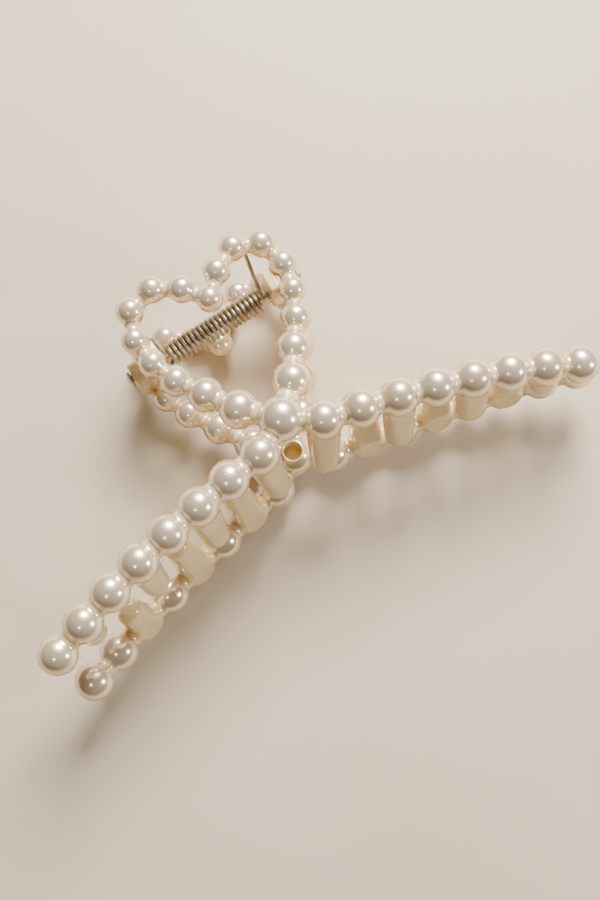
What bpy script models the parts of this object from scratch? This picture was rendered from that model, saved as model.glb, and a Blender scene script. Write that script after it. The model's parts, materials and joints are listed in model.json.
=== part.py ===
"""Pearl heart claw clip: two moulded pearl jaws, a riveted hinge pin and a torsion spring.

Metres, +Z up. The clip lies on its back jaw, X along the hinge pin, the handles towards +Y and
the mouth towards -Y. Each jaw is drawn in its own strand frame, in millimetres, with the tip
pearl at x = y = 0 and z pointing out of the clip, and is then set on the hinge.
"""

from math import acos, cos, pi, radians, sin, sqrt

import bmesh
import bpy
from mathutils import Matrix, Vector

MM = 0.001

# Pearls of the right half of the heart: x, y, height over the mid-plane, radius (mm).
TIP_PEARL = (0.0, 0.0, 11.8, 4.6)
HEART_PEARLS = (
    (6.0, 6.3, 9.7, 4.0),
    (10.1, 12.7, 7.8, 3.6),
    (13.8, 18.5, 6.7, 3.2),
    (16.2, 24.0, 6.9, 2.85),
    (17.1, 29.7, 7.8, 2.85),
    (15.1, 35.2, 9.0, 2.95),
    (9.3, 36.8, 10.1, 2.85),
    (4.0, 33.6, 10.9, 2.85),
)
NOTCH_PEARL = (0.0, 29.2, 10.5, 2.8)

# Arm: eight equal pearls along a curve that droops towards the mouth and closes on the mid-plane.
ARM_PEARLS = 8
ARM_RADIUS = 4.0
ARM_PITCH = 7.78
ARM_START = 7.1
ARM_REACH = 59.0
ARM_ROOT = 2.9
ARM_SLOPE = 11.2
ARM_DROOP = 4.2
ARM_CLOSE = 5.9

# Facets: sides round a strand, rings along a pearl, and where a pearl gives way to its neck.
SIDES = 10
RINGS = 5
NECK_ANGLE = radians(60)
TIP_INSIDE = 0.82

# Teeth: on the back jaw they stand on the even arm pearls, on the front jaw on the odd ones, so
# that the two rows pass between each other. The tip pearl and the end pearls carry none. All
# are parallel columns, flat on the mouth side, and the back jaw's pearls share that flat.
FRONT_TEETH = 1
BACK_TEETH = 0
TOOTH_LEAN = radians(15)
TOOTH_ROOT = 3.7
TOOTH_TIP = 3.0
TOOTH_FLAT = 2.8
TOOTH_REAR = 0.5
TOOTH_TIP_GAP = 1.4
TOOTH_PLAY = 2.6
TOOTH_SIDES = 18
TOOTH_DOME_STEPS = 4

# The back jaw's tip pearl is cored from the inner side.
CORE_RADIUS = 1.9
CORE_DEPTH = 5.0

# Hinge: where the pin crosses each strand frame, and the ears, pin and spring on it.
BACK_HINGE_Y = 29.5
FRONT_HINGE_Y = 27.0
FRONT_SHIFT_X = 0.7
FRONT_YAW = radians(-3.3)
FRONT_ROLL = radians(2.1)
LIE_TILT = radians(-4.6)
BORE_RADIUS = 1.25
EAR_SIDES = 20
FRONT_EAR = {"inner": 13.0, "outer": 15.4, "radius": 3.0, "half_width": 2.4, "reach": 7.4}
BACK_EAR = {"inner": 17.6, "outer": 20.0, "radius": 2.9, "half_width": 2.5, "reach": 7.4}
PIN_RADIUS = 0.9
PIN_HEAD_RADIUS = 1.7
PIN_HEAD_START = 20.3
PIN_END = 21.2
COIL_RADIUS = 2.1
WIRE_RADIUS = 0.45
COIL_HALF_LENGTH = 11.3
COIL_TURNS = 20
STEPS_PER_TURN = 8
FRONT_LEG_END = (13.0, 8.3, 6.4)
BACK_LEG_END = (-12.2, 7.8, -7.1)


def clear_scene():
    for obj in list(bpy.data.objects):
        bpy.data.objects.remove(obj, do_unlink=True)


def material(name, colour, roughness, metallic=0.0, coat=0.0):
    made = bpy.data.materials.new(name)
    made.use_nodes = True
    shader = made.node_tree.nodes["Principled BSDF"]
    shader.inputs["Base Color"].default_value = (*colour, 1.0)
    shader.inputs["Roughness"].default_value = roughness
    shader.inputs["Metallic"].default_value = metallic
    shader.inputs["Coat Weight"].default_value = coat
    return made


def arm_point(x):
    """Centre line of the right arm at x, in the strand frame."""
    t = x / ARM_REACH
    fall = ARM_ROOT + ARM_SLOPE * t + ARM_DROOP * t**3
    return Vector((x, -fall, TIP_PEARL[2] - ARM_CLOSE * t**3))


def arm_pearls():
    """Eight pearls an equal pitch apart along the arm."""
    x = ARM_START
    pearls = [(arm_point(x), ARM_RADIUS)]
    while len(pearls) < ARM_PEARLS:
        slope = (arm_point(x + 0.5) - arm_point(x - 0.5)).length
        guess = x + ARM_PITCH / slope
        for _ in range(8):
            miss = ARM_PITCH - (arm_point(guess) - arm_point(x)).length
            guess += miss / slope
        x = guess
        pearls.append((arm_point(x), ARM_RADIUS))
    return pearls


def mirrored(pearls):
    return [(Vector((-c.x, c.y, c.z)), r) for c, r in pearls]


def strand_frame(out):
    """Pearls of one jaw, with z = +1 outwards for the front jaw and -1 for the back jaw."""
    heart = [(Vector(p[:3]), p[3]) for p in HEART_PEARLS]
    tip = (Vector(TIP_PEARL[:3]), TIP_PEARL[3])
    notch = (Vector(NOTCH_PEARL[:3]), NOTCH_PEARL[3])
    arm = arm_pearls()
    loop = [(tip[0], tip[1] * TIP_INSIDE)] + heart + [notch] + mirrored(heart)[::-1]
    arms = mirrored(arm)[::-1] + [tip] + arm
    flip = Vector((1, 1, out))
    return [[(c * flip, r) for c, r in strand] for strand in (loop, arms)]


def ring(bm, centre, normal, radius, sides=SIDES):
    """A ring of vertices about the normal, its first one always on the side nearest +Z."""
    side = normal.cross(Vector((0, 0, 1))).normalized()
    up = side.cross(normal).normalized()
    around = []
    for k in range(sides):
        angle = 2 * pi * k / sides
        around.append(bm.verts.new(centre + (up * cos(angle) + side * sin(angle)) * radius))
    return around


def bridge(bm, first, second):
    count = len(first)
    for k in range(count):
        bm.faces.new((first[k], first[(k + 1) % count], second[(k + 1) % count], second[k]))


def pearl_rings(bm, centre, radius, arriving, leaving):
    """Rings across a pearl; their planes turn with the strand from one direction to the next."""
    rings = []
    for k in range(RINGS):
        t = k / (RINGS - 1)
        angle = NECK_ANGLE * (2 * t - 1)
        normal = arriving.slerp(leaving, t) if arriving.angle(leaving) > 1e-6 else arriving
        rings.append(ring(bm, centre + normal * radius * sin(angle), normal, radius * cos(angle)))
    return rings


def cap(bm, last, centre, radius, normal, outward):
    """Closes the end pearl of an arm with one more ring and a pole."""
    angle = (NECK_ANGLE + pi / 2) / 2
    more = ring(bm, centre + outward * radius * sin(angle), normal, radius * cos(angle))
    pole = bm.verts.new(centre + outward * radius)
    bridge(bm, last, more)
    for k in range(len(more)):
        bm.faces.new((more[k], more[(k + 1) % len(more)], pole))


def strand_mesh(name, pearls, closed):
    """A string of fused pearls as one closed surface."""
    bm = bmesh.new()
    count = len(pearls)
    steps = [(pearls[(i + 1) % count][0] - pearls[i][0]).normalized() for i in range(count)]
    rings = []
    for i, (centre, radius) in enumerate(pearls):
        arriving = steps[i - 1] if closed or i > 0 else steps[0]
        leaving = steps[i] if closed or i < count - 1 else steps[i - 1]
        rings += pearl_rings(bm, centre, radius, arriving, leaving)
    for first, second in zip(rings, rings[1:]):
        bridge(bm, first, second)
    if closed:
        bridge(bm, rings[-1], rings[0])
    else:
        cap(bm, rings[0], *pearls[0], steps[0], -steps[0])
        cap(bm, rings[-1], *pearls[-1], steps[-2], steps[-2])
    bmesh.ops.recalc_face_normals(bm, faces=bm.faces)
    return finish_mesh(name, bm)


def finish_mesh(name, bm):
    mesh = bpy.data.meshes.new(name)
    bm.to_mesh(mesh)
    bm.free()
    return mesh


def tooth_axes(tangent, inward):
    """Width, height and face directions of a tooth; all faces look to the mouth and outwards."""
    width = Vector((tangent.x, tangent.y, 0)).normalized()
    if width.x < 0:
        width.negate()
    mouth = Vector((width.y, -width.x, 0))
    height = (Vector((0, 0, 1)) * cos(TOOTH_LEAN) - mouth * sin(TOOTH_LEAN)) * inward
    face = mouth * cos(TOOTH_LEAN) + Vector((0, 0, 1)) * sin(TOOTH_LEAN)
    return width, height, face


def tooth_stations(length):
    """Heights up a tooth and its radius there: a straight taper, then a dome."""
    straight = length - TOOTH_TIP
    yield 0.0, TOOTH_ROOT
    for k in range(TOOTH_DOME_STEPS):
        angle = pi / 2 * k / TOOTH_DOME_STEPS
        yield straight + TOOTH_TIP * sin(angle), TOOTH_TIP * cos(angle)


def tooth_mesh(name, centre, radius, tangent, inward):
    """A tooth rising from a pearl's centre: round, flat to the mouth and shallow behind."""
    width, height, face = tooth_axes(tangent, inward)
    play = TOOTH_PLAY * abs(centre.x) / ARM_REACH
    length = (2 * abs(centre.z) - radius - TOOTH_TIP_GAP - play) / cos(TOOTH_LEAN)
    bm = bmesh.new()
    rings = []
    for up, size in tooth_stations(length):
        around = []
        for k in range(TOOTH_SIDES):
            angle = 2 * pi * (k + 0.5) / TOOTH_SIDES
            out = size * cos(angle)
            out = min(out, TOOTH_FLAT) if out > 0 else out * TOOTH_REAR
            around.append(bm.verts.new(centre + height * up + width * size * sin(angle) + face * out))
        rings.append(around)
    for first, second in zip(rings, rings[1:]):
        bridge(bm, first, second)
    bm.faces.new(rings[0][::-1])
    pole = bm.verts.new(centre + height * length)
    for k in range(TOOTH_SIDES):
        bm.faces.new((rings[-1][k], rings[-1][(k + 1) % TOOTH_SIDES], pole))
    bmesh.ops.recalc_face_normals(bm, faces=bm.faces)
    return finish_mesh(name, bm)


def flat_mesh(name, centre, radius, tangent, inward):
    """A block to cut, in front of the flat of a tooth and its pearl."""
    width, height, face = tooth_axes(tangent, inward)
    bm = bmesh.new()
    corners = []
    for out in (TOOTH_FLAT, 2 * radius):
        for side, up in ((-1, -1), (1, -1), (1, 1), (-1, 1)):
            corner = centre + width * side * TOOTH_ROOT + height * up * (radius + 1) + face * out
            corners.append(bm.verts.new(corner))
    bridge(bm, corners[:4], corners[4:])
    bm.faces.new(corners[3::-1])
    bm.faces.new(corners[4:])
    bmesh.ops.recalc_face_normals(bm, faces=bm.faces)
    return finish_mesh(name, bm)


def cylinder_mesh(name, start, end, radius, sides):
    """A plain cylinder between two points, used as a cutter."""
    bm = bmesh.new()
    axis = (end - start).normalized()
    first = ring(bm, start, axis, radius, sides)
    second = ring(bm, end, axis, radius, sides)
    bridge(bm, first, second)
    bm.faces.new(first[::-1])
    bm.faces.new(second)
    bmesh.ops.recalc_face_normals(bm, faces=bm.faces)
    return finish_mesh(name, bm)


def ear_mesh(name, ear, side, out):
    """A hinge ear: a disc about the pin, run out in a tongue to the heart strand."""
    reach = ear["reach"]
    width = ear["half_width"]
    lead = acos(width / ear["radius"])
    outline = []
    for k in range(EAR_SIDES + 1):
        angle = lead - (2 * lead + pi) * k / EAR_SIDES
        outline.append((ear["radius"] * cos(angle), ear["radius"] * sin(angle)))
    outline += [(-width, reach), (width, reach)]
    bm = bmesh.new()
    faces = []
    for x in (ear["inner"], ear["outer"]):
        faces.append([bm.verts.new((side * x, y, out * z)) for y, z in outline])
    bridge(bm, *faces)
    bm.faces.new(faces[0][::-1])
    bm.faces.new(faces[1])
    bmesh.ops.recalc_face_normals(bm, faces=bm.faces)
    return finish_mesh(name, bm)


def place(mesh, matrix):
    mesh.transform(matrix)
    mesh.update()
    return mesh


def helper(mesh):
    """A cutter or tool body that only the Booleans see."""
    obj = bpy.data.objects.new(mesh.name, mesh)
    bpy.context.scene.collection.objects.link(obj)
    obj.hide_render = True
    obj.display_type = "WIRE"
    return obj


def boolean(obj, operation, other):
    modifier = obj.modifiers.new(f"{operation.lower()} {other.name}", "BOOLEAN")
    modifier.operation = operation
    modifier.solver = "EXACT"
    modifier.object = other


def tooth_places(arms, odd):
    """The pearls that carry teeth on one jaw, with the strand's direction at each."""
    for i in range(1, len(arms) - 1):
        if i != ARM_PEARLS and abs(i - ARM_PEARLS) % 2 == odd:
            yield i, *arms[i], arms[i + 1][0] - arms[i - 1][0]


def jaw(name, out, pose, teeth, ear, look):
    """One moulded jaw: heart, arms, teeth and two ears, joined, with the eye and bores cut."""
    loop, arms = strand_frame(out)
    mesh = place(strand_mesh(name, arms, False), pose)
    obj = bpy.data.objects.new(name, mesh)
    bpy.context.scene.collection.objects.link(obj)
    obj.data.materials.append(look)
    boolean(obj, "UNION", helper(place(strand_mesh(f"{name}_heart", loop, True), pose)))
    for i, *seat in tooth_places(arms, teeth):
        boolean(obj, "UNION", helper(place(tooth_mesh(f"{name}_tooth_{i}", *seat, -out), pose)))
    for side in (-1, 1):
        boolean(obj, "UNION", helper(ear_mesh(f"{name}_ear_{side}", ear, side, out)))
    reach = Vector((ear["outer"] + 1, 0, 0))
    start = Vector((ear["inner"] - 1, 0, 0))
    for side in (-1, 1):
        bore = cylinder_mesh(f"{name}_bore_{side}", start * side, reach * side, BORE_RADIUS, 12)
        boolean(obj, "DIFFERENCE", helper(bore))
    return obj


def cut_flats(obj, out, pose):
    """Carries the flat of each tooth on over the pearl that it stands on."""
    for i, *seat in tooth_places(strand_frame(out)[1], BACK_TEETH):
        boolean(obj, "DIFFERENCE", helper(place(flat_mesh(f"flat_{i}", *seat, -out), pose)))


def cut_core(obj, out, pose):
    """The round core hole in the tip pearl, open to the inner side."""
    start = Vector((TIP_PEARL[0], TIP_PEARL[1], out * (TIP_PEARL[2] - TIP_PEARL[3] - 1)))
    end = start + Vector((0, 0, out * (CORE_DEPTH + 1)))
    boolean(obj, "DIFFERENCE", helper(place(cylinder_mesh("core", start, end, CORE_RADIUS, 20), pose)))


def turned_mesh(name, profile, sides):
    """A solid turned about X from (x, radius) pairs that start and end on the axis."""
    bm = bmesh.new()
    first = bm.verts.new((profile[0][0], 0, 0))
    last = bm.verts.new((profile[-1][0], 0, 0))
    rings = [ring(bm, Vector((x, 0, 0)), Vector((1, 0, 0)), r, sides) for x, r in profile[1:-1]]
    for one, two in zip(rings, rings[1:]):
        bridge(bm, one, two)
    for k in range(sides):
        bm.faces.new((rings[0][(k + 1) % sides], rings[0][k], first))
        bm.faces.new((rings[-1][k], rings[-1][(k + 1) % sides], last))
    bmesh.ops.recalc_face_normals(bm, faces=bm.faces)
    return finish_mesh(name, bm)


def hinge_pin(look):
    """Wire pin with a formed head at each end, held in the back jaw's ears."""
    half = [
        (PIN_HEAD_START, PIN_RADIUS),
        (PIN_HEAD_START, PIN_HEAD_RADIUS),
        ((PIN_HEAD_START + PIN_END) / 2, PIN_HEAD_RADIUS),
        (PIN_END, PIN_RADIUS),
        (PIN_END, 0.0),
    ]
    profile = [(-x, r) for x, r in half[::-1]] + half
    obj = bpy.data.objects.new("hinge_pin", turned_mesh("hinge_pin", profile, 12))
    bpy.context.scene.collection.objects.link(obj)
    obj.data.materials.append(look)
    return obj


def leg_angle(end):
    """Angle on the coil where a straight leg to this end leaves it at a tangent."""
    reach = sqrt(end[1] ** 2 + end[2] ** 2)
    return acos(end[1] / reach) + acos(COIL_RADIUS / reach)


def on_coil(x, angle):
    return Vector((x, COIL_RADIUS * cos(angle), COIL_RADIUS * sin(angle)))


def spring_path():
    """Centre line of the spring: back leg, the coil about X, front leg."""
    first = -leg_angle(BACK_LEG_END)
    last = leg_angle(FRONT_LEG_END) + 2 * pi * COIL_TURNS
    steps = round(COIL_TURNS * STEPS_PER_TURN)
    coil = []
    for k in range(steps + 1):
        t = k / steps
        coil.append(on_coil(COIL_HALF_LENGTH * (2 * t - 1), first + (last - first) * t))
    back_end = Vector(BACK_LEG_END)
    front_end = Vector(FRONT_LEG_END)
    return [back_end, back_end.lerp(coil[0], 0.5)] + coil + [coil[-1].lerp(front_end, 0.5), front_end]


def torsion_spring(look):
    """Round-wire torsion spring as a curve with a round bevel and filled caps."""
    curve = bpy.data.curves.new("torsion_spring", "CURVE")
    curve.dimensions = "3D"
    curve.bevel_depth = WIRE_RADIUS
    curve.bevel_resolution = 1
    curve.use_fill_caps = True
    points = spring_path()
    spline = curve.splines.new("POLY")
    spline.points.add(len(points) - 1)
    for target, point in zip(spline.points, points):
        target.co = (*point, 1.0)
    obj = bpy.data.objects.new("torsion_spring", curve)
    bpy.context.scene.collection.objects.link(obj)
    curve.materials.append(look)
    return obj


def strand_pose(hinge_y, shift_x=0.0, yaw=0.0, roll=0.0):
    """From a strand frame to the hinge, before the clip is laid down."""
    to_hinge = Matrix.Translation((0, -hinge_y, 0))
    skew = Matrix.Rotation(roll, 4, "Y") @ Matrix.Rotation(yaw, 4, "Z")
    return Matrix.Translation((shift_x, 0, 0)) @ skew @ to_hinge


def lay_down(objects):
    """Tilts the clip onto the tip pearl and the back lobes, and stands it on the ground plane."""
    lie = bpy.data.objects.new("clip", None)
    bpy.context.scene.collection.objects.link(lie)
    for obj in bpy.data.objects:
        if obj is not lie:
            obj.parent = lie
    lie.rotation_euler = (LIE_TILT, 0, 0)
    lie.scale = (MM, MM, MM)
    bpy.context.view_layer.update()
    graph = bpy.context.evaluated_depsgraph_get()
    corners = []
    for obj in objects:
        evaluated = obj.evaluated_get(graph)
        mesh = evaluated.to_mesh()
        corners += [obj.matrix_world @ v.co for v in mesh.vertices]
        evaluated.to_mesh_clear()
    low = [min(c[k] for c in corners) for k in range(3)]
    high = [max(c[k] for c in corners) for k in range(3)]
    lie.location = (-(low[0] + high[0]) / 2, -(low[1] + high[1]) / 2, -low[2])


def main():
    clear_scene()
    pearl = material("pearl_plastic", (0.86, 0.80, 0.71), 0.22, coat=0.6)
    steel = material("spring_steel", (0.42, 0.37, 0.28), 0.34, metallic=1.0)
    pin_steel = material("pin_steel", (0.47, 0.42, 0.34), 0.3, metallic=1.0)
    front_pose = strand_pose(FRONT_HINGE_Y, FRONT_SHIFT_X, FRONT_YAW, FRONT_ROLL)
    back_pose = strand_pose(BACK_HINGE_Y)
    front = jaw("front_jaw", 1, front_pose, FRONT_TEETH, FRONT_EAR, pearl)
    back = jaw("back_jaw", -1, back_pose, BACK_TEETH, BACK_EAR, pearl)
    cut_flats(back, -1, back_pose)
    cut_core(back, -1, back_pose)
    pin = hinge_pin(pin_steel)
    spring = torsion_spring(steel)
    lay_down([front, back, pin, spring])


main()
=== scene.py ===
"""Looks of the pearl heart claw clip: fine moulded jaws, wound spring, riveted pin, studio.

The jaws are made from signed distances, joined with small fillets and turned into a smooth mesh.
Shapes are in millimetres in the hinge's frame: X along the pin, Y to the handles, Z out of the
front jaw. They are then laid down on the ground plane as the frame lies.
"""

import json
from math import acos, cos, pi, radians, sin, sqrt

import bmesh
import bpy
import numpy as np
from mathutils import Matrix, Vector


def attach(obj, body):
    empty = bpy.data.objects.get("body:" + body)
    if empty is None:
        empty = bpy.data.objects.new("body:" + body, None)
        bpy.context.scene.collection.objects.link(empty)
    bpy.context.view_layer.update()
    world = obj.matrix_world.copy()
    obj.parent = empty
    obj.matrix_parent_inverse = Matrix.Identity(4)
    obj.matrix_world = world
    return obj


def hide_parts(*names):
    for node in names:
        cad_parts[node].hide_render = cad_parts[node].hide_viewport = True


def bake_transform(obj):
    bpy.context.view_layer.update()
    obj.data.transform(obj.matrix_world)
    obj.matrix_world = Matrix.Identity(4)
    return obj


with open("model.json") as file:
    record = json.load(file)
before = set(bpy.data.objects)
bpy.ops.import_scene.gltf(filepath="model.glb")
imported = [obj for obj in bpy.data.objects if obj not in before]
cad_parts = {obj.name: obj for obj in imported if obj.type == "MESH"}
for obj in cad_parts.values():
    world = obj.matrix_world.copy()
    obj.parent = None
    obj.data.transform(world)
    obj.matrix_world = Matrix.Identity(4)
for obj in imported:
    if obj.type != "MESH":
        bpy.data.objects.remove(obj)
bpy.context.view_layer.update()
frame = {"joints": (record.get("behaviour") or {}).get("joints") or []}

MM = 0.001
HINGE = Vector(frame["joints"][0]["pos_m"])

# The frame's own dimensions: pearls as x, y, height over the mid-plane and radius.
TIP_PEARL = (0.0, 0.0, 11.8, 4.6)
HEART_PEARLS = (
    (6.0, 6.3, 9.7, 4.0),
    (10.1, 12.7, 7.8, 3.6),
    (13.8, 18.5, 6.7, 3.2),
    (16.2, 24.0, 6.9, 2.85),
    (17.1, 29.7, 7.8, 2.85),
    (15.1, 35.2, 9.0, 2.95),
    (9.3, 36.8, 10.1, 2.85),
    (4.0, 33.6, 10.9, 2.85),
)
NOTCH_PEARL = (0.0, 29.2, 10.5, 2.8)
ARM_PEARLS = 8
ARM_RADIUS = 4.0
ARM_PITCH = 7.78
ARM_START = 7.1
ARM_REACH = 59.0
ARM_ROOT = 2.9
ARM_SLOPE = 11.2
ARM_DROOP = 4.2
ARM_CLOSE = 5.9
FRONT_TEETH = 1
BACK_TEETH = 0
TOOTH_LEAN = radians(15)
TOOTH_ROOT = 3.7
TOOTH_TIP = 3.0
TOOTH_FLAT = 2.8
TOOTH_REAR = 0.5
TOOTH_TIP_GAP = 1.4
TOOTH_PLAY = 2.6
CORE_RADIUS = 1.9
CORE_DEPTH = 5.0
BACK_HINGE_Y = 29.5
FRONT_HINGE_Y = 27.0
FRONT_SHIFT_X = 0.7
FRONT_YAW = radians(-3.3)
FRONT_ROLL = radians(2.1)
LIE_TILT = radians(-4.6)
BORE_RADIUS = 1.25
FRONT_EAR = {"inner": 13.0, "outer": 15.4, "radius": 3.0, "half_width": 2.4, "reach": 7.4}
BACK_EAR = {"inner": 17.6, "outer": 20.0, "radius": 2.9, "half_width": 2.5, "reach": 7.4}
PIN_RADIUS = 0.9
PIN_HEAD_RADIUS = 1.7
PIN_HEAD_START = 20.3
PIN_END = 21.2
COIL_RADIUS = 2.1
WIRE_RADIUS = 0.45
COIL_HALF_LENGTH = 11.3
COIL_TURNS = 20
FRONT_LEG_END = Vector((13.0, 8.3, 6.4))
BACK_LEG_END = Vector((-12.2, 7.8, -7.1))

# Surface detail of the mouldings.
CELL = 0.32
FAR = 2.0
REACH = 1.5
NECK_RADIUS = 0.58
NECK_FILLET = 0.45
TOOTH_FILLET = 0.5
TOOTH_EDGE = 0.4
EAR_EDGE = 0.35
BORE_EDGE = 0.25
SETTLE_ROUNDS = 4
NUDGE = 0.01
HOLLOW_STEPS = (0.4, 0.8, 1.4)
LACQUER_DEPTH = 0.6
TOOTH_LACQUER = 0.3
COIL_STEPS = 28
LEG_STEPS = 12
WIRE_SIDES = 14
WIRE_END_ROUND = 0.12
PIN_SIDES = 48
PIN_EDGE = 0.25

# Dark, light and dirty tones of the wires.
SPRING_TONES = ((0.33, 0.27, 0.19), (0.58, 0.51, 0.40), (0.15, 0.10, 0.05))
PIN_TONES = ((0.40, 0.33, 0.25), (0.60, 0.52, 0.42), (0.22, 0.12, 0.06))

# Stage and camera, in metres and degrees.
FLOOR_SIZE = 4.0
CAMERA_PLACE = Vector((-0.02507, -0.0441, 0.26634))
CAMERA_TURN = (radians(9.28), radians(-1.159), radians(-32.897))
CAMERA_LENS = 49.76
SENSOR = 36.0

# Lamps: degrees off the line of sight and round it, distance, size, power and colour.
DAYLIGHT = (1.0, 0.965, 0.905)
BULB = (1.0, 0.97, 0.93)
LAMPS = (
    ("window", 56, 80, 0.60, 0.30, 9.4, DAYLIGHT),
    ("bright_wall", 56, 80, 0.66, 0.86, 2.8, DAYLIGHT),
    ("right_lamp", 62, -4, 0.8, 0.17, 3.2, BULB),
    ("small_lamp", 21, 236, 0.7, 0.05, 0.35, BULB),
)
LAMP_TARGET = Vector((0, 0, 0.02))
ROOM_COLOUR = (0.56, 0.44, 0.32, 1.0)
ROOM_STRENGTH = 0.18


def lay_down():
    """From the hinge's frame in millimetres to the ground plane in metres."""
    return Matrix.Translation(HINGE) @ Matrix.Rotation(LIE_TILT, 4, "X") @ Matrix.Scale(MM, 4)


def strand_pose(hinge_y, shift_x=0.0, yaw=0.0, roll=0.0):
    """From a jaw's strand frame to the hinge's frame."""
    to_hinge = Matrix.Translation((0, -hinge_y, 0))
    skew = Matrix.Rotation(roll, 4, "Y") @ Matrix.Rotation(yaw, 4, "Z")
    return Matrix.Translation((shift_x, 0, 0)) @ skew @ to_hinge


def arm_point(x):
    """Centre line of the right arm at x, in the strand frame."""
    t = x / ARM_REACH
    fall = ARM_ROOT + ARM_SLOPE * t + ARM_DROOP * t**3
    return Vector((x, -fall, TIP_PEARL[2] - ARM_CLOSE * t**3))


def arm_pearls():
    """Eight pearls an equal pitch apart along the arm."""
    x = ARM_START
    pearls = [(arm_point(x), ARM_RADIUS)]
    while len(pearls) < ARM_PEARLS:
        slope = (arm_point(x + 0.5) - arm_point(x - 0.5)).length
        guess = x + ARM_PITCH / slope
        for _ in range(8):
            guess += (ARM_PITCH - (arm_point(guess) - arm_point(x)).length) / slope
        x = guess
        pearls.append((arm_point(x), ARM_RADIUS))
    return pearls


def mirrored(pearls):
    """The same pearls on the left."""
    return [(Vector((-c.x, c.y, c.z)), r) for c, r in pearls]


def strands(out):
    """The heart and the arms of one jaw in its strand frame, out = 1 for the front, -1 the back."""
    heart = [(Vector(p[:3]), p[3]) for p in HEART_PEARLS]
    tip = (Vector(TIP_PEARL[:3]), TIP_PEARL[3])
    notch = (Vector(NOTCH_PEARL[:3]), NOTCH_PEARL[3])
    arm = arm_pearls()
    loop = [tip] + heart + [notch] + mirrored(heart)[::-1]
    arms = mirrored(arm)[::-1] + [tip] + arm
    flip = Vector((1, 1, out))
    return [[(c * flip, r) for c, r in strand] for strand in (loop, arms)]


class Shape:
    """A solid as a signed distance, read only inside its own box."""

    def __init__(self, points, swell, distance, fillet, cut=False):
        corners = np.array([tuple(p) for p in points])
        self.low = corners.min(0) - swell - REACH
        self.high = corners.max(0) + swell + REACH
        self.distance = distance
        self.fillet = fillet
        self.cut = cut

    def join(self, field, here):
        """The field with this shape added, or cut away, with a rounded inner corner."""
        if self.cut:
            return -smooth_least(-field, here, self.fillet)
        return smooth_least(field, here, self.fillet)


def smooth_least(one, two, fillet):
    """The lesser of two distances, rounded where they meet."""
    share = np.clip(0.5 + 0.5 * (two - one) / fillet, 0.0, 1.0)
    return two + (one - two) * share - fillet * share * (1 - share)


def length(vectors):
    """Lengths of many vectors."""
    return np.sqrt((vectors**2).sum(-1))


def rounded_prism(outline, slab, edge):
    """Distance to an outline pulled through a slab, with its edges rounded."""
    both = np.stack([outline + edge, slab + edge], -1)
    return np.minimum(both.max(-1), 0) + length(np.maximum(both, 0)) - edge


def pearl(centre, radius):
    """One pearl."""
    middle = np.array(centre)
    return Shape([centre], radius, lambda p: length(p - middle) - radius, NECK_FILLET)


def rod(start, end, radius, fillet, cut=False):
    """A round rod with round ends."""
    first = np.array(start)
    along = np.array(end) - first
    span = along @ along

    def distance(p):
        share = np.clip(((p - first) @ along) / span, 0, 1)
        return length(p - first - share[..., None] * along) - radius

    return Shape([start, end], radius, distance, fillet, cut)


def flat_bore(start, end, radius):
    """A round bore with a flat end, to cut."""
    first = np.array(start)
    axis = np.array((end - start).normalized())
    depth = (end - start).length

    def distance(p):
        along = (p - first) @ axis
        across = length(p - first - along[..., None] * axis)
        return rounded_prism(across - radius, np.abs(along - depth / 2) - depth / 2, BORE_EDGE)

    return Shape([start, end], radius, distance, BORE_EDGE, True)


def tooth_axes(tangent, inward):
    """Width, height and face directions of a tooth; all faces look to the mouth and outwards."""
    width = Vector((tangent.x, tangent.y, 0)).normalized()
    if width.x < 0:
        width.negate()
    mouth = Vector((width.y, -width.x, 0))
    height = (Vector((0, 0, 1)) * cos(TOOTH_LEAN) - mouth * sin(TOOTH_LEAN)) * inward
    face = mouth * cos(TOOTH_LEAN) + Vector((0, 0, 1)) * sin(TOOTH_LEAN)
    return width, height, face


def tooth_shapes(centre, radius, tangent, inward, pose, cut_pearl):
    """A domed column, flat to the mouth and shallow behind; the flat may run on over its pearl."""
    axes = tooth_axes(tangent, inward)
    play = TOOTH_PLAY * abs(centre.x) / ARM_REACH
    tall = (2 * abs(centre.z) - radius - TOOTH_TIP_GAP - play) / cos(TOOTH_LEAN)
    base = pose @ centre
    top = pose @ (centre + axes[1] * tall)
    foot = pose @ (centre - axes[1] * radius)
    turn = np.array([tuple(pose.to_3x3() @ axis) for axis in axes])
    origin = np.array(base)
    straight = tall - TOOTH_TIP

    def local(p):
        return np.moveaxis((p - origin) @ turn.T, -1, 0)

    def column(p):
        u, v, w = local(p)
        along = np.clip(v / straight, 0, 1)
        deep = np.where(w < 0, w / TOOTH_REAR, w)
        rest = v - along * straight
        size = TOOTH_ROOT + (TOOTH_TIP - TOOTH_ROOT) * along
        return np.sqrt(u**2 + deep**2 + rest**2) - size

    def flat_column(p):
        return rounded_prism(column(p), local(p)[2] - TOOTH_FLAT, TOOTH_EDGE)

    def in_front(p):
        u, _, w = local(p)
        return np.maximum(TOOTH_FLAT - w, np.abs(u) - TOOTH_ROOT)

    if cut_pearl:
        yield Shape([base, top], TOOTH_ROOT, column, TOOTH_FILLET)
        yield Shape([foot, top], TOOTH_ROOT, in_front, TOOTH_EDGE, True)
    else:
        yield Shape([base, top], TOOTH_ROOT, flat_column, TOOTH_FILLET)


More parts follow.
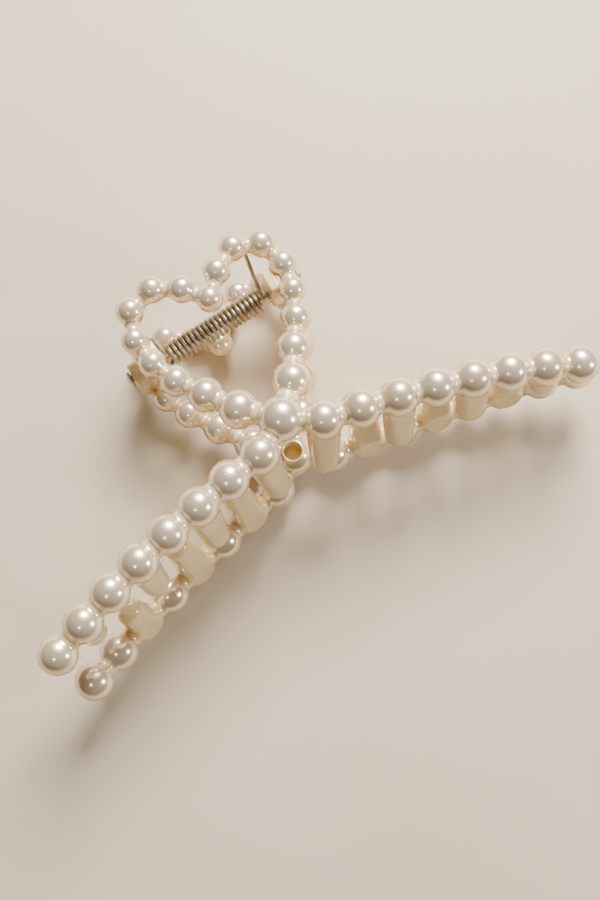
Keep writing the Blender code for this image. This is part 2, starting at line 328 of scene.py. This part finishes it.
def ear(size, side, out):
    """A hinge ear: a round plate about the pin with a tongue up to the heart."""
    middle = side * (size["inner"] + size["outer"]) / 2
    half = (size["outer"] - size["inner"]) / 2
    top = size["reach"]

    def distance(p):
        x, y, z = np.moveaxis(p, -1, 0)
        z = z * out
        disc = np.sqrt(y**2 + z**2) - size["radius"]
        tongue = np.maximum(np.abs(y) - size["half_width"], np.abs(z - top / 2) - top / 2)
        outline = smooth_least(disc, tongue, TOOTH_FILLET)
        return rounded_prism(outline, np.abs(x - middle) - half, EAR_EDGE)

    ends = [(middle - half, 0, 0), (middle + half, 0, out * top)]
    return Shape(ends, size["radius"], distance, TOOTH_FILLET)


def jaw_shapes(out, pose, odd, plate):
    """Everything that one jaw is moulded from, then what is cut away."""
    loop, arms = strands(out)
    shapes = []
    for strand, closed in ((loop, True), (arms, False)):
        placed = [(pose @ c, r) for c, r in strand]
        shapes += [pearl(c, r) for c, r in placed if closed or c != pose @ loop[0][0]]
        following = placed[1:] + (placed[:1] if closed else [])
        for (one, r1), (two, r2) in zip(placed, following):
            shapes.append(rod(one, two, NECK_RADIUS * min(r1, r2), NECK_FILLET))
    for i in range(1, len(arms) - 1):
        if i != ARM_PEARLS and abs(i - ARM_PEARLS) % 2 == odd:
            tangent = arms[i + 1][0] - arms[i - 1][0]
            shapes += tooth_shapes(*arms[i], tangent, -out, pose, out < 0)
    for side in (-1, 1):
        shapes.append(ear(plate, side, out))
    for side in (-1, 1):
        start = Vector((side * (plate["inner"] - 1), 0, 0))
        end = Vector((side * (plate["outer"] + 1), 0, 0))
        shapes.append(flat_bore(start, end, BORE_RADIUS))
    return shapes


def core_shape(pose):
    """The round core hole in the back jaw's tip pearl, open to the inner side."""
    start = Vector((TIP_PEARL[0], TIP_PEARL[1], TIP_PEARL[3] + 1 - TIP_PEARL[2]))
    return flat_bore(pose @ start, pose @ (start - Vector((0, 0, CORE_DEPTH + 1))), CORE_RADIUS)


def pearl_spheres(out, pose):
    """The centres and radii of all pearls of one jaw, in the hinge's frame."""
    both = [bead for strand in strands(out) for bead in strand]
    return np.array([tuple(pose @ c) for c, _ in both]), np.array([r for _, r in both])


def field_on_grid(shapes):
    """The joined distance on a grid over all shapes, and the grid's axes."""
    low = np.min([s.low for s in shapes], 0)
    high = np.max([s.high for s in shapes], 0)
    axes = [np.arange(low[k], high[k] + CELL, CELL) for k in range(3)]
    field = np.full([len(a) for a in axes], FAR)
    for shape in shapes:
        spans = []
        for k in range(3):
            spans.append(slice(*np.searchsorted(axes[k], (shape.low[k], shape.high[k]))))
        points = np.stack(np.meshgrid(*[a[s] for a, s in zip(axes, spans)], indexing="ij"), -1)
        block = tuple(spans)
        field[block] = shape.join(field[block], shape.distance(points))
    return axes, field


def field_at(shapes, points):
    """The joined distance at loose points."""
    field = np.full(len(points), FAR)
    for shape in shapes:
        near = np.flatnonzero(((points > shape.low) & (points < shape.high)).all(1))
        if len(near):
            field[near] = shape.join(field[near], shape.distance(points[near]))
    return field


def slope_at(shapes, points, step):
    """The field at the points, and its gradient."""
    here = field_at(shapes, points)
    slope = np.empty_like(points)
    for k in range(3):
        moved = points.copy()
        moved[:, k] += step
        slope[:, k] = (field_at(shapes, moved) - here) / step
    return here, slope


def surface_net(axes, field):
    """A vertex in each grid cell that the surface passes, and a face across each crossed edge."""
    solid = field < 0
    full = np.zeros([n - 1 for n in solid.shape], np.int8)
    for i in (0, 1):
        for j in (0, 1):
            for k in (0, 1):
                full += solid[i : i + full.shape[0], j : j + full.shape[1], k : k + full.shape[2]]
    crossed = (full > 0) & (full < 8)
    number = np.full(crossed.shape, -1)
    number[crossed] = np.arange(crossed.sum())
    low = np.array([a[0] for a in axes])
    points = low + (np.argwhere(crossed) + 0.5) * CELL
    quads = []
    for turn in ((0, 1, 2), (1, 2, 0), (2, 0, 1)):
        inside = solid.transpose(turn)
        cell = number.transpose(turn)
        start = inside[:-1, 1:-1, 1:-1]
        i, j, k = np.nonzero(start != inside[1:, 1:-1, 1:-1])
        quad = [cell[i, j, k], cell[i, j + 1, k], cell[i, j + 1, k + 1], cell[i, j, k + 1]]
        quad = np.stack(quad, 1)
        back = ~start[i, j, k]
        quad[back] = quad[back][:, ::-1]
        quads.append(quad)
    return points, np.concatenate(quads)


def settled(shapes, points, quads):
    """The net relaxed sideways and drawn onto the true surface, and its normals."""
    corners = quads.ravel()
    count = np.bincount(corners, minlength=len(points))[:, None]
    for _ in range(SETTLE_ROUNDS):
        centres = np.repeat(points[quads].mean(1), 4, 0)
        total = [np.bincount(corners, centres[:, k], len(points)) for k in range(3)]
        points = np.stack(total, 1) / count
        here, slope = slope_at(shapes, points, NUDGE)
        points = points - (here / (slope**2).sum(1))[:, None] * slope
    here, slope = slope_at(shapes, points, NUDGE)
    points = points - (here / (slope**2).sum(1))[:, None] * slope
    return points, slope / length(slope)[:, None]


def hollowness(shapes, points, normals):
    """How shut in each point is, from 0 in the open to 1 deep between pearls; this sets where
    painted shade darkens the pearl colour.
    """
    shut = np.zeros(len(points))
    for step in HOLLOW_STEPS:
        shut += np.clip(1 - field_at(shapes, points + normals * step) / step, 0, 1)
    return shut / len(HOLLOW_STEPS)


def jaw(name, node, body, spheres, shapes, look):
    """One moulded jaw, with how lacquered its surface is at each point, and how shut in it is,
    which drives the painted shade in the hollows.
    """
    axes, field = field_on_grid(shapes)
    points, quads = surface_net(axes, field)
    points, normals = settled(shapes, points, quads)
    mesh = bpy.data.meshes.new(name)
    mesh.from_pydata(points, [], quads)
    # Stored for the material, which paints shade into the colour where the surface is shut in.
    hollow_shade = mesh.attributes.new("hollow_shade", "FLOAT", "POINT")
    hollow_shade.data.foreach_set("value", hollowness(shapes, points, normals).astype(np.float32))
    off = np.full(len(points), FAR)
    for centre, radius in zip(*spheres):
        off = np.minimum(off, np.abs(length(points - centre) - radius))
    coated = np.clip(1 - off / LACQUER_DEPTH, TOOTH_LACQUER, 1)
    lacquer = mesh.attributes.new("lacquer", "FLOAT", "POINT")
    lacquer.data.foreach_set("value", coated.astype(np.float32))
    mesh.transform(lay_down())
    mesh.shade_smooth()
    mesh.materials.append(look)
    obj = bpy.data.objects.new(name, mesh)
    bpy.context.scene.collection.objects.link(obj)
    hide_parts(node)
    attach(obj, body)
    return obj


def shader_tree(name):
    """A new material with its Principled shader and a way to add nodes."""
    made = bpy.data.materials.new(name)
    made.use_nodes = True
    tree = made.node_tree
    shader = tree.nodes["Principled BSDF"]

    def add(kind, **values):
        node = tree.nodes.new(kind)
        for key, value in values.items():
            if hasattr(node, key):
                setattr(node, key, value)
            else:
                node.inputs[key.replace("_", " ")].default_value = value
        return node

    return made, tree.links, shader, add


def ramp(add, links, source, stops):
    """A colour ramp from (position, grey or colour) stops."""
    node = add("ShaderNodeValToRGB")
    links.new(source, node.inputs["Fac"])
    elements = node.color_ramp.elements
    while len(elements) < len(stops):
        elements.new(0.5)
    for element, (position, colour) in zip(elements, stops):
        element.position = position
        element.color = (*colour, 1.0) if isinstance(colour, tuple) else (colour,) * 3 + (1.0,)
    return node.outputs["Color"]


def noise(add, links, place, scale, detail=3.0, rough=0.5):
    """A noise value from 0 to 1."""
    node = add("ShaderNodeTexNoise", Scale=scale, Detail=detail, Roughness=rough)
    links.new(place, node.inputs["Vector"])
    return node.outputs["Fac"]


def mixed(add, links, share, first, second):
    """Two colours mixed; each is an output or a plain colour."""
    node = add("ShaderNodeMix", data_type="RGBA")
    links.new(share, node.inputs["Factor"])
    colours = [s for s in node.inputs if s.type == "RGBA"]
    for socket, value in zip(colours, (first, second)):
        if isinstance(value, tuple):
            socket.default_value = (*value, 1.0)
        else:
            links.new(value, socket)
    return [s for s in node.outputs if s.type == "RGBA"][0]


def pearl_look():
    """Pearl lacquer over cream plastic: rosier where thick; painted shade, darker warm amber, where
    the pearls meet and in the core hole.
    """
    made, links, shader, add = shader_tree("pearl_lacquer")
    place = add("ShaderNodeTexCoord").outputs["Object"]
    hollow_shade = add("ShaderNodeAttribute", attribute_name="hollow_shade").outputs["Fac"]
    lacquer = add("ShaderNodeAttribute", attribute_name="lacquer").outputs["Fac"]
    drift = noise(add, links, place, 120.0, 2.0)
    rose = ramp(add, links, drift, ((0.38, (0.94, 0.78, 0.54)), (0.62, (0.97, 0.80, 0.61))))
    bare = ramp(add, links, drift, ((0.35, (0.76, 0.56, 0.22)), (0.65, (0.85, 0.67, 0.32))))
    skin = mixed(add, links, lacquer, bare, rose)
    # Painted shade: warm amber darkening where the pearls meet, deeper amber in the deepest hollows
    # and the core hole, standing in for shade and light bounced between the pearls.
    depth = ramp(add, links, hollow_shade, ((0.10, 0.0), (0.75, 1.0)))
    skin = mixed(add, links, depth, skin, (0.72, 0.46, 0.16))
    shut = ramp(add, links, hollow_shade, ((0.80, 0.0), (0.98, 1.0)))
    skin = mixed(add, links, shut, skin, (0.66, 0.38, 0.10))
    links.new(skin, shader.inputs["Base Color"])
    mottle = noise(add, links, place, 900.0)
    rough = ramp(add, links, mottle, ((0.3, 0.17), (0.7, 0.24)))
    links.new(rough, shader.inputs["Roughness"])
    sheen = ramp(add, links, lacquer, ((0.30, 0.04), (0.9, 0.62)))
    links.new(sheen, shader.inputs["Metallic"])
    grain = noise(add, links, place, 2600.0, 2.0)
    bump = add("ShaderNodeBump", Strength=0.05, Distance=0.00003)
    links.new(grain, bump.inputs["Height"])
    links.new(bump.outputs["Normal"], shader.inputs["Normal"])
    shader.inputs["Specular Tint"].default_value = (0.72, 0.60, 0.44, 1.0)
    shader.inputs["Coat Weight"].default_value = 0.85
    shader.inputs["Coat Roughness"].default_value = 0.09
    shader.inputs["Coat IOR"].default_value = 1.4
    shader.inputs["Subsurface Weight"].default_value = 0.12
    shader.inputs["Subsurface Radius"].default_value = (1.0, 0.7, 0.4)
    shader.inputs["Subsurface Scale"].default_value = 0.0015
    return made


def steel_look(name, dark, light, dirt):
    """Drawn wire: aged nickel with brassy patches, die lines and dirt."""
    made, links, shader, add = shader_tree(name)
    place = add("ShaderNodeTexCoord").outputs["Object"]
    patches = noise(add, links, place, 700.0, 4.0, 0.6)
    metal = ramp(add, links, patches, ((0.35, dark), (0.65, light)))
    spots = noise(add, links, place, 2400.0, 3.0, 0.65)
    worn = ramp(add, links, spots, ((0.56, 0.0), (0.70, 1.0)))
    links.new(mixed(add, links, worn, metal, dirt), shader.inputs["Base Color"])
    rough = ramp(add, links, spots, ((0.35, 0.26), (0.75, 0.5)))
    links.new(rough, shader.inputs["Roughness"])
    bump = add("ShaderNodeBump", Strength=0.15, Distance=0.00003)
    links.new(spots, bump.inputs["Height"])
    links.new(bump.outputs["Normal"], shader.inputs["Normal"])
    shader.inputs["Metallic"].default_value = 1.0
    return made


def leg_angle(end):
    """Where on the coil a straight leg to this end leaves it."""
    reach = sqrt(end[1] ** 2 + end[2] ** 2)
    return acos(end[1] / reach) + acos(COIL_RADIUS / reach)


def on_coil(x, angle):
    """A point of the coil's centre line."""
    return Vector((x, COIL_RADIUS * cos(angle), COIL_RADIUS * sin(angle)))


def spring_path():
    """The wire's centre line: back leg, coil, front leg."""
    first = -leg_angle(BACK_LEG_END)
    last = leg_angle(FRONT_LEG_END) + 2 * pi * COIL_TURNS
    steps = COIL_TURNS * COIL_STEPS
    coil = []
    for k in range(steps + 1):
        t = k / steps
        coil.append(on_coil(COIL_HALF_LENGTH * (2 * t - 1), first + (last - first) * t))
    back = [BACK_LEG_END.lerp(coil[0], k / LEG_STEPS) for k in range(LEG_STEPS)]
    front = [coil[-1].lerp(FRONT_LEG_END, (k + 1) / LEG_STEPS) for k in range(LEG_STEPS)]
    return back + coil + front


def tube(bm, path, radius, sides):
    """A round wire along a path, with domed cut ends."""
    rings = []
    side = None
    last = len(path) - 1
    stops = [(0, 0, radius - WIRE_END_ROUND), (0, WIRE_END_ROUND, radius)]
    stops += [(i, 0, radius) for i in range(1, last)]
    stops += [(last, -WIRE_END_ROUND, radius), (last, 0, radius - WIRE_END_ROUND)]
    for i, shift, size in stops:
        ahead = path[min(i + 1, last)] - path[max(i - 1, 0)]
        ahead.normalize()
        if side is None:
            side = ahead.orthogonal().normalized()
        side = (side - ahead * side.dot(ahead)).normalized()
        up = ahead.cross(side)
        centre = path[i] + ahead * shift
        ring = []
        for k in range(sides):
            angle = 2 * pi * k / sides
            ring.append(bm.verts.new(centre + (side * cos(angle) + up * sin(angle)) * size))
        rings.append(ring)
    for one, two in zip(rings, rings[1:]):
        for k in range(sides):
            bm.faces.new((one[k], one[(k + 1) % sides], two[(k + 1) % sides], two[k]))
    bm.faces.new(rings[0][::-1])
    bm.faces.new(rings[-1])


def torsion_spring(look):
    """The wound spring, as one fixed mesh."""
    bm = bmesh.new()
    tube(bm, spring_path(), WIRE_RADIUS, WIRE_SIDES)
    bmesh.ops.recalc_face_normals(bm, faces=bm.faces)
    mesh = bpy.data.meshes.new("spring_wire")
    bm.to_mesh(mesh)
    bm.free()
    mesh.transform(lay_down())
    mesh.shade_smooth()
    mesh.set_sharp_from_angle(angle=radians(50))
    mesh.materials.append(look)
    obj = bpy.data.objects.new("spring_wire", mesh)
    bpy.context.scene.collection.objects.link(obj)
    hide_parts("torsion_spring")
    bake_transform(obj)
    return obj


def hinge_pin(look):
    """Wire pin: a straight shank with a domed, slightly dished head formed on each end."""
    half = [(PIN_HEAD_START, PIN_RADIUS)]
    half.append((PIN_HEAD_START, PIN_HEAD_RADIUS - PIN_EDGE / 2))
    for k in range(7):
        angle = radians(-45 + 22.5 * k)
        x = PIN_HEAD_START + 0.3 + PIN_EDGE * sin(angle)
        half.append((x, PIN_HEAD_RADIUS - PIN_EDGE + PIN_EDGE * cos(angle)))
    half += [(PIN_END - 0.12, PIN_RADIUS), (PIN_END, PIN_RADIUS * 0.55), (PIN_END - 0.1, 0.18)]
    profile = [(-x, r) for x, r in half[::-1]] + half
    bm = bmesh.new()
    rings = []
    for x, r in profile:
        ring = []
        for k in range(PIN_SIDES):
            angle = 2 * pi * k / PIN_SIDES
            ring.append(bm.verts.new((x, r * cos(angle), r * sin(angle))))
        rings.append(ring)
    for one, two in zip(rings, rings[1:]):
        for k in range(PIN_SIDES):
            bm.faces.new((one[k], two[k], two[(k + 1) % PIN_SIDES], one[(k + 1) % PIN_SIDES]))
    bm.faces.new(rings[0])
    bm.faces.new(rings[-1][::-1])
    bmesh.ops.recalc_face_normals(bm, faces=bm.faces)
    mesh = bpy.data.meshes.new("riveted_pin")
    bm.to_mesh(mesh)
    bm.free()
    mesh.transform(lay_down())
    mesh.shade_smooth()
    mesh.set_sharp_from_angle(angle=radians(40))
    mesh.materials.append(look)
    obj = bpy.data.objects.new("riveted_pin", mesh)
    bpy.context.scene.collection.objects.link(obj)
    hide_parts("hinge_pin")
    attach(obj, "back")
    return obj


def floor_look():
    """Smooth pale paper-like board, faintly mottled."""
    made, links, shader, add = shader_tree("pale_board")
    place = add("ShaderNodeTexCoord").outputs["Object"]
    cloud = noise(add, links, place, 14.0, 3.0)
    tone = ramp(add, links, cloud, ((0.35, (0.68, 0.575, 0.43)), (0.65, (0.71, 0.605, 0.46))))
    links.new(tone, shader.inputs["Base Color"])
    fibre = noise(add, links, place, 500.0, 4.0)
    bump = add("ShaderNodeBump", Strength=0.06, Distance=0.0003)
    links.new(fibre, bump.inputs["Height"])
    links.new(bump.outputs["Normal"], shader.inputs["Normal"])
    shader.inputs["Roughness"].default_value = 0.55
    return made


def floor():
    """The board that the clip lies on."""
    bm = bmesh.new()
    bmesh.ops.create_grid(bm, x_segments=8, y_segments=8, size=FLOOR_SIZE / 2)
    mesh = bpy.data.meshes.new("studio_floor")
    bm.to_mesh(mesh)
    bm.free()
    mesh.materials.append(floor_look())
    obj = bpy.data.objects.new("studio_floor", mesh)
    bpy.context.scene.collection.objects.link(obj)
    return obj


def camera():
    """The camera above the clip, a little to its left."""
    made = bpy.data.cameras.new("camera")
    made.sensor_width = SENSOR
    made.lens = CAMERA_LENS
    made.clip_start = 0.01
    obj = bpy.data.objects.new("camera", made)
    obj.location = CAMERA_PLACE
    obj.rotation_euler = CAMERA_TURN
    bpy.context.scene.collection.objects.link(obj)
    bpy.context.scene.camera = obj
    return obj


def lamp(name, off_axis, around, distance, size, power, colour, view):
    """A round soft light aimed at the clip. off_axis is its angle from the line of sight and
    around is its bearing about it, from the picture's right, both in degrees."""
    right, up, back = (view.to_3x3() @ Vector(v) for v in ((1, 0, 0), (0, 1, 0), (0, 0, 1)))
    tilt = radians(off_axis)
    turn = radians(around)
    way = back * cos(tilt) + (right * cos(turn) + up * sin(turn)) * sin(tilt)
    light = bpy.data.lights.new(name, "AREA")
    light.shape = "DISK"
    light.size = size
    light.energy = power
    light.color = colour
    obj = bpy.data.objects.new(name, light)
    obj.location = LAMP_TARGET + way * distance
    obj.rotation_euler = way.to_track_quat("Z", "Y").to_euler()
    bpy.context.scene.collection.objects.link(obj)
    return obj


def studio():
    """Camera, lamps and the dim room around."""
    eye = camera()
    bpy.context.view_layer.update()
    view = eye.matrix_world
    for name, *settings in LAMPS:
        lamp(name, *settings, view)
    world = bpy.data.worlds.new("soft_room")
    world.use_nodes = True
    backdrop = world.node_tree.nodes["Background"]
    backdrop.inputs["Color"].default_value = ROOM_COLOUR
    backdrop.inputs["Strength"].default_value = ROOM_STRENGTH
    bpy.context.scene.world = world


def main():
    pearl_lacquer = pearl_look()
    spring_steel = steel_look("aged_spring_wire", *SPRING_TONES)
    pin_steel = steel_look("aged_pin_wire", *PIN_TONES)
    front_pose = strand_pose(FRONT_HINGE_Y, FRONT_SHIFT_X, FRONT_YAW, FRONT_ROLL)
    back_pose = strand_pose(BACK_HINGE_Y)
    front_shapes = jaw_shapes(1, front_pose, FRONT_TEETH, FRONT_EAR)
    back_shapes = jaw_shapes(-1, back_pose, BACK_TEETH, BACK_EAR) + [core_shape(back_pose)]
    front_spheres = pearl_spheres(1, front_pose)
    back_spheres = pearl_spheres(-1, back_pose)
    jaw("front_pearls", "front_jaw", "front", front_spheres, front_shapes, pearl_lacquer)
    jaw("back_pearls", "back_jaw", "back", back_spheres, back_shapes, pearl_lacquer)
    torsion_spring(spring_steel)
    hinge_pin(pin_steel)
    floor()
    studio()


main()
